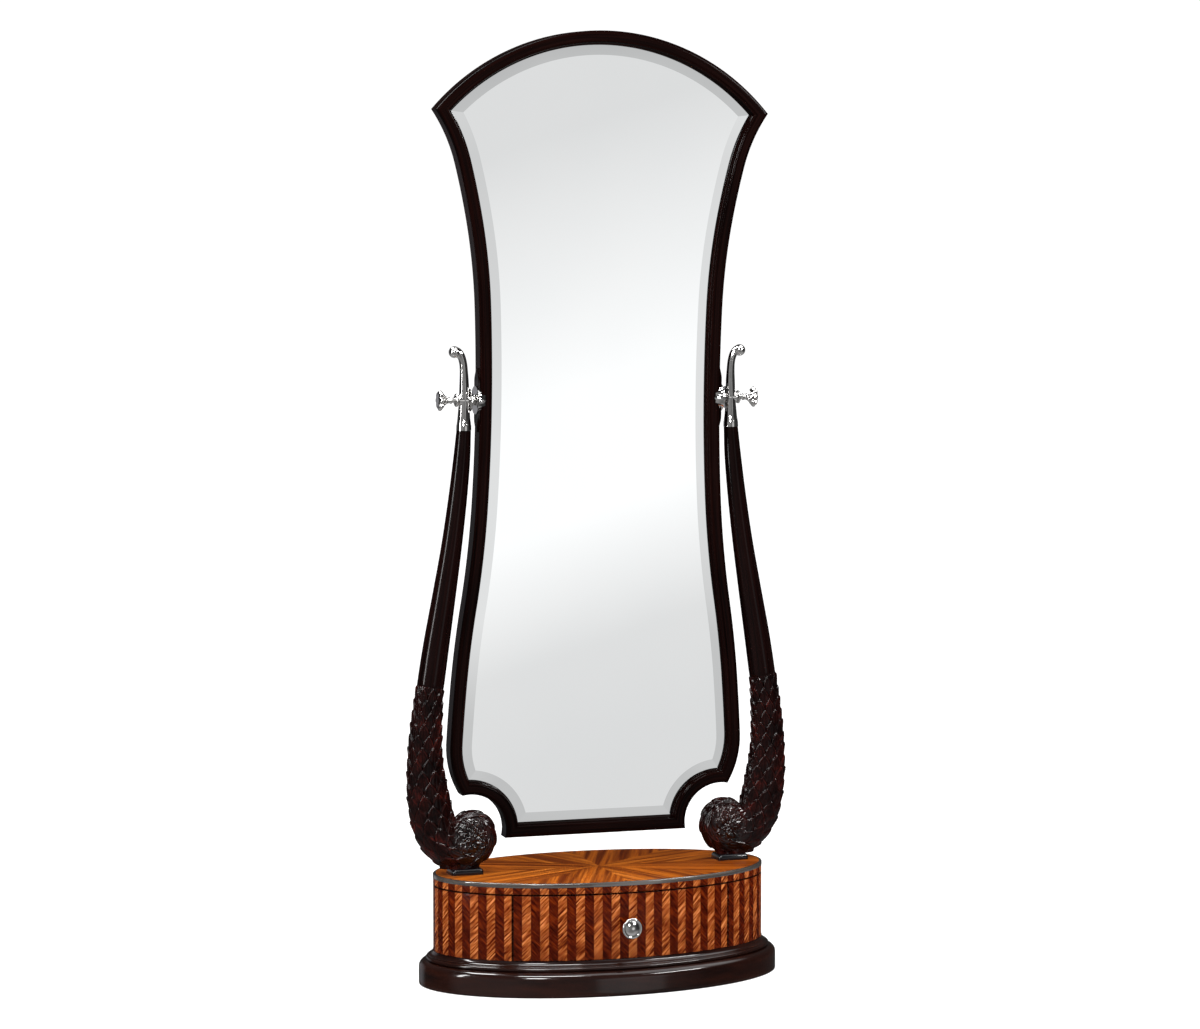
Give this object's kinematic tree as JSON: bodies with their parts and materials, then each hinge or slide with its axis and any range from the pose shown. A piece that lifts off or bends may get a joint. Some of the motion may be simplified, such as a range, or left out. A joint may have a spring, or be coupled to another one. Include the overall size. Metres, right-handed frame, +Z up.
{
  "type": "cheval mirror",
  "caption": "Free-standing cheval mirror: shaped bevelled glass in an ebonised frame, tilting between scrolled carved posts on an oval marquetry drum with a drawer.",
  "frame": {"origin": "centre of the oval plinth's footprint, on the floor", "axes": "+Z up, -Y towards the person using the mirror, +X to that person's right"},
  "size_m": [0.8282, 0.4458, 1.9501],
  "materials": {
    "ebonised_gloss": "polished near-black lacquer over wood",
    "ebonised_frame": "glossy dark brown-black polish with lengthwise grain",
    "ebonised_post": "glossy dark brown-black polish",
    "carved_wood": "carved, glossy dark red-brown polish",
    "black_pad": "high-gloss black lacquer",
    "drum_marquetry": "alternating light and dark diagonal-grain veneer strips, polished",
    "sunburst_veneer": "radiating book-matched veneer, polished",
    "dark_stringing": "dark inlaid edge band, glossy",
    "carcase_wood": "plain sanded secondary wood",
    "drawer_lining": "sealed pale drawer wood",
    "backing_ply": "dark stained plywood",
    "bright_nickel": "mirror-polished nickel plate",
    "silvered_glass": "bevelled silvered glass",
    "steel_fixings": "plain steel"
  },
  "bodies": {
    "stand": {"plinth_base": "ebonised_gloss", "plinth_moulding": "ebonised_gloss", "bottom_board": "carcase_wood", "back_shell": "drum_marquetry", "top_frieze": "drum_marquetry", "top_edge_band": "dark_stringing", "top_panel": "sunburst_veneer", "drawer_stop": "carcase_wood", "case_divider_left": "carcase_wood", "drawer_runner_left": "carcase_wood", "foot_pad_left": "black_pad", "scroll_bolts_left": "steel_fixings", "scroll_foot_left": "carved_wood", "post_left": "ebonised_post", "finial_horn_left": "bright_nickel", "horn_flange_left": "bright_nickel", "case_divider_right": "carcase_wood", "drawer_runner_right": "carcase_wood", "foot_pad_right": "black_pad", "scroll_bolts_right": "steel_fixings", "scroll_foot_right": "carved_wood", "post_right": "ebonised_post", "finial_horn_right": "bright_nickel", "horn_flange_right": "bright_nickel"},
    "mirror": {"crest_rail": "ebonised_frame", "bottom_rail": "ebonised_frame", "mirror_glass": "silvered_glass", "glass_stops": "carcase_wood", "backing_board": "backing_ply", "backing_screws": "steel_fixings", "stile_left": "ebonised_frame", "notch_rail_left": "ebonised_frame", "pivot_pad_left": "ebonised_frame", "pivot_boss_left": "bright_nickel", "pivot_collar_left": "bright_nickel", "stile_right": "ebonised_frame", "notch_rail_right": "ebonised_frame", "pivot_pad_right": "ebonised_frame", "pivot_boss_right": "bright_nickel", "pivot_collar_right": "bright_nickel"},
    "left_clamp": {"clamp_collar_left": "bright_nickel", "clamp_knob_left": "bright_nickel", "clamp_spindle_left": "bright_nickel"},
    "right_clamp": {"clamp_collar_right": "bright_nickel", "clamp_knob_right": "bright_nickel", "clamp_spindle_right": "bright_nickel"},
    "drawer": {"drawer_front": "drum_marquetry", "drawer_side_left": "drawer_lining", "drawer_side_right": "drawer_lining", "drawer_bottom": "drawer_lining", "drawer_back": "drawer_lining", "drawer_knob": "bright_nickel", "knob_screw": "steel_fixings"}
  },
  "joints": [
    {"name": "mirror_tilt", "type": "hinge", "parent": "stand", "child": "mirror", "pos_m": [0, 0, 1.19926], "axis": [1, 0, 0], "range_deg": [-170, 170]},
    {"name": "left_clamp_turn", "type": "hinge", "parent": "mirror", "child": "left_clamp", "pos_m": [-0.32, 0, 1.19926], "axis": [-1, 0, 0], "range_deg": [0, 360]},
    {"name": "right_clamp_turn", "type": "hinge", "parent": "mirror", "child": "right_clamp", "pos_m": [0.32, 0, 1.19926], "axis": [1, 0, 0], "range_deg": [0, 360]},
    {"name": "drawer_slide", "type": "slide", "parent": "stand", "child": "drawer", "axis": [0, -1, 0], "range_m": [0, 0.2]}
  ]
}
